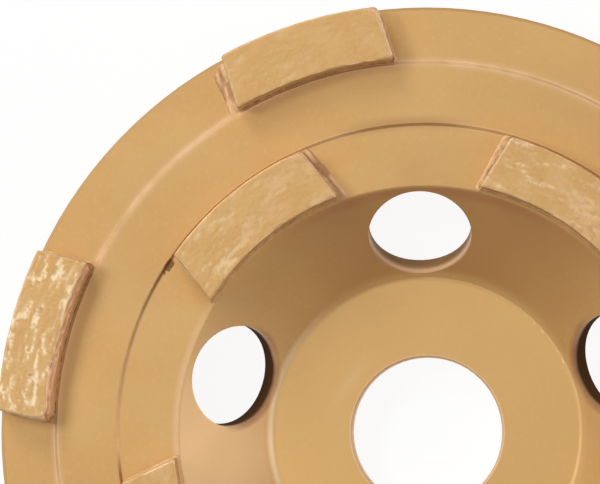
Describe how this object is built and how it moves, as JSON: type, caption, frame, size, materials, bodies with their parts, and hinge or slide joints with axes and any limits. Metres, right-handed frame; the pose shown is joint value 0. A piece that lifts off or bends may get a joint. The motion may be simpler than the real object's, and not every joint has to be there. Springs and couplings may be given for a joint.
{
  "type": "diamond cup wheel",
  "caption": "Dished steel cup wheel with a plain bore, vent holes through its cone, and diamond segments brazed in rows on its rim, for grinding stone and concrete.",
  "frame": {"origin": "middle of the bore on the back face of the hub", "axes": "+Z along the bore axis, out of the cup towards the grinding side; +X to the right and +Y up as the wheel is looked at from its grinding side"},
  "size_m": [0.1249, 0.1246, 0.022],
  "materials": {
    "gold_paint": "satin gold enamel on steel",
    "painted_segment": "grainy sintered metal with diamond grit under gold enamel"
  },
  "bodies": {
    "root": {"steel_core": "gold_paint", "outer_segment_1": "painted_segment", "outer_segment_2": "painted_segment", "outer_segment_3": "painted_segment", "outer_segment_4": "painted_segment", "outer_segment_5": "painted_segment", "outer_segment_6": "painted_segment", "inner_segment_1": "painted_segment", "inner_segment_2": "painted_segment", "inner_segment_3": "painted_segment", "inner_segment_4": "painted_segment", "inner_segment_5": "painted_segment"}
  },
  "joints": []
}
